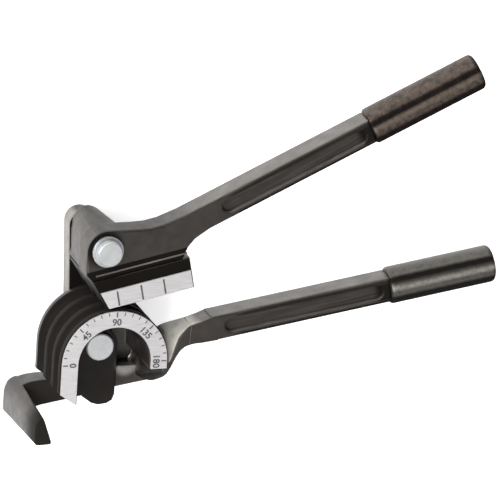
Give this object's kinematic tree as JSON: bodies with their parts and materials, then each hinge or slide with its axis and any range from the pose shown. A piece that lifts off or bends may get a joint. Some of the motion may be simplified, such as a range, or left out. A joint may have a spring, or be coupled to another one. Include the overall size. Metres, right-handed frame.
{
  "type": "lever tube bender",
  "caption": "Hand lever tube bender with a grooved half-round forming die, a fixed hook, a link-hung lever with a matching forming shoe, silver scales and two knurled grips.",
  "frame": {"origin": "on the die's axis, in the plane of the link's back face, on which the tool can be laid", "axes": "+Z along the pivot axes towards the side with the scales, +X towards the handles' ends, +Y from the die's axis towards the upper pin"},
  "size_m": [0.2143, 0.1714, 0.0504],
  "materials": {
    "forming_die": "black-brown semi-gloss over a cast surface",
    "lower_grip": "dark, knurled",
    "degree_scale": "satin, with dark printed marks",
    "main_bush": "oiled bearing bronze",
    "link_plate": "black-brown semi-gloss over a cast surface",
    "main_pin": "bright plated, slightly worn",
    "main_washer": "bright plated, slightly worn",
    "main_retaining_ring": "dark spring steel",
    "upper_pin": "bright plated, slightly worn",
    "pin_collar": "bright plated, slightly worn",
    "upper_washer": "bright plated, slightly worn",
    "upper_retaining_ring": "dark spring steel",
    "upper_handle": "black-brown semi-gloss over a cast surface",
    "upper_bush": "oiled bearing bronze",
    "upper_grip": "dark, knurled",
    "forming_shoe": "black-brown semi-gloss over a cast surface",
    "shoe_scale": "satin, with dark printed marks",
    "shoe_screw_1": "dark spring steel",
    "shoe_screw_2": "dark spring steel"
  },
  "bodies": {
    "die": {"forming_die": "forming_die", "lower_grip": "lower_grip", "degree_scale": "degree_scale", "main_bush": "main_bush"},
    "link": {"link_plate": "link_plate", "main_pin": "main_pin", "main_washer": "main_washer", "main_retaining_ring": "main_retaining_ring", "upper_pin": "upper_pin", "pin_collar": "pin_collar", "upper_washer": "upper_washer", "upper_retaining_ring": "upper_retaining_ring"},
    "lever": {"upper_handle": "upper_handle", "upper_bush": "upper_bush", "upper_grip": "upper_grip", "forming_shoe": "forming_shoe", "shoe_scale": "shoe_scale", "shoe_screw_1": "shoe_screw_1", "shoe_screw_2": "shoe_screw_2"}
  },
  "joints": [
    {"name": "bend_swing", "type": "hinge", "parent": "die", "child": "link", "pos_m": [0, 0, 0], "axis": [0, 0, 1], "range_deg": [-18, 78]},
    {"name": "handle_pivot", "type": "hinge", "parent": "link", "child": "lever", "pos_m": [-0.006, 0.053, 0], "axis": [0, 0, 1], "range_deg": [0, 90]}
  ]
}
